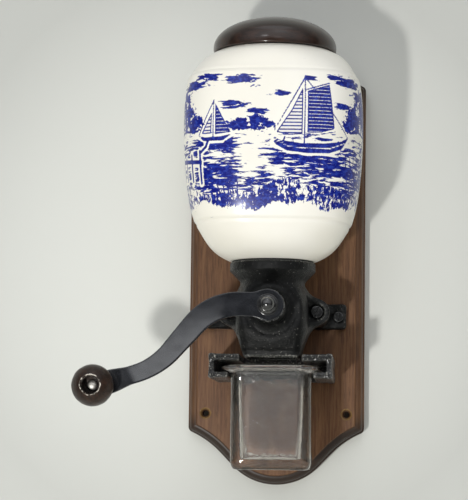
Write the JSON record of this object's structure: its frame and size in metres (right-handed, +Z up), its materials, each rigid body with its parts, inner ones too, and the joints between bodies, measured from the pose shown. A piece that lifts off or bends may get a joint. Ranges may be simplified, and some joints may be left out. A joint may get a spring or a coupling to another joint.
{
  "type": "manual coffee grinder",
  "caption": "Wall-mounted hand coffee mill: ceramic hopper on a cast iron mill body, joggled crank, glass catch cup on rails, ogee wooden back board.",
  "frame": {"origin": "middle of the board's back face, which lies against the wall", "axes": "+X to the right seen from the front, +Y into the wall, +Z up"},
  "size_m": [0.1952, 0.182, 0.336],
  "materials": {
    "board_wood": "stained, satin",
    "jar_glaze": "glazed ceramic, gloss, blue print",
    "dark_wood": "dark stained, satin",
    "seal_rubber": "matt",
    "black_iron": "black enamelled, satin",
    "rough_iron": "black, rough cast",
    "dark_steel": "blackened, satin",
    "crank_steel": "slate black, satin",
    "bright_steel": "bright",
    "burr_iron": "bare",
    "bush_brass": "plain",
    "cup_glass": "clear, pressed"
  },
  "bodies": {
    "stand": {"board": "board_wood", "jar": "jar_glaze", "jar_gasket": "seal_rubber", "jar_clamp_ring": "black_iron", "clamp_screws": "bright_steel", "housing": "black_iron", "housing_screws": "dark_steel", "rear_bracket": "black_iron", "board_screws": "dark_steel", "cup_bracket": "rough_iron", "bracket_screws": "dark_steel", "burr_ring": "burr_iron", "rear_bush": "bush_brass", "front_bush": "bush_brass"},
    "crank": {"crank_shaft": "bright_steel", "burr_cone": "burr_iron", "cone_pin": "bright_steel", "thrust_washer": "bright_steel", "adjusting_spring": "bright_steel", "crank_arm": "crank_steel", "crank_washer": "dark_steel", "crank_nut": "dark_steel", "knob_pin": "bright_steel"},
    "knob": {"knob": "dark_wood", "knob_washer": "dark_steel"},
    "adjuster": {"adjusting_nut": "dark_steel"},
    "lid": {"lid": "dark_wood", "lid_seal": "seal_rubber"},
    "cup": {"glass_cup": "cup_glass"}
  },
  "joints": [
    {"name": "crank_spin", "type": "hinge", "parent": "stand", "child": "crank", "pos_m": [0, -0.1, -0.0445], "axis": [0, -1, 0], "continuous": true},
    {"name": "knob_spin", "type": "hinge", "parent": "crank", "child": "knob", "pos_m": [-0.1159, -0.16, -0.1016], "axis": [0, -1, 0], "continuous": true},
    {"name": "grind_adjust", "type": "hinge", "parent": "crank", "child": "adjuster", "pos_m": [0, -0.13, -0.0445], "axis": [0, -1, 0], "range_deg": [-180, 180]},
    {"name": "lid_lift", "type": "slide", "parent": "stand", "child": "lid", "axis": [0, 0, 1], "range_m": [0, 0.06]},
    {"name": "cup_slide", "type": "slide", "parent": "stand", "child": "cup", "axis": [0, -1, 0], "range_m": [0, 0.09]}
  ]
}
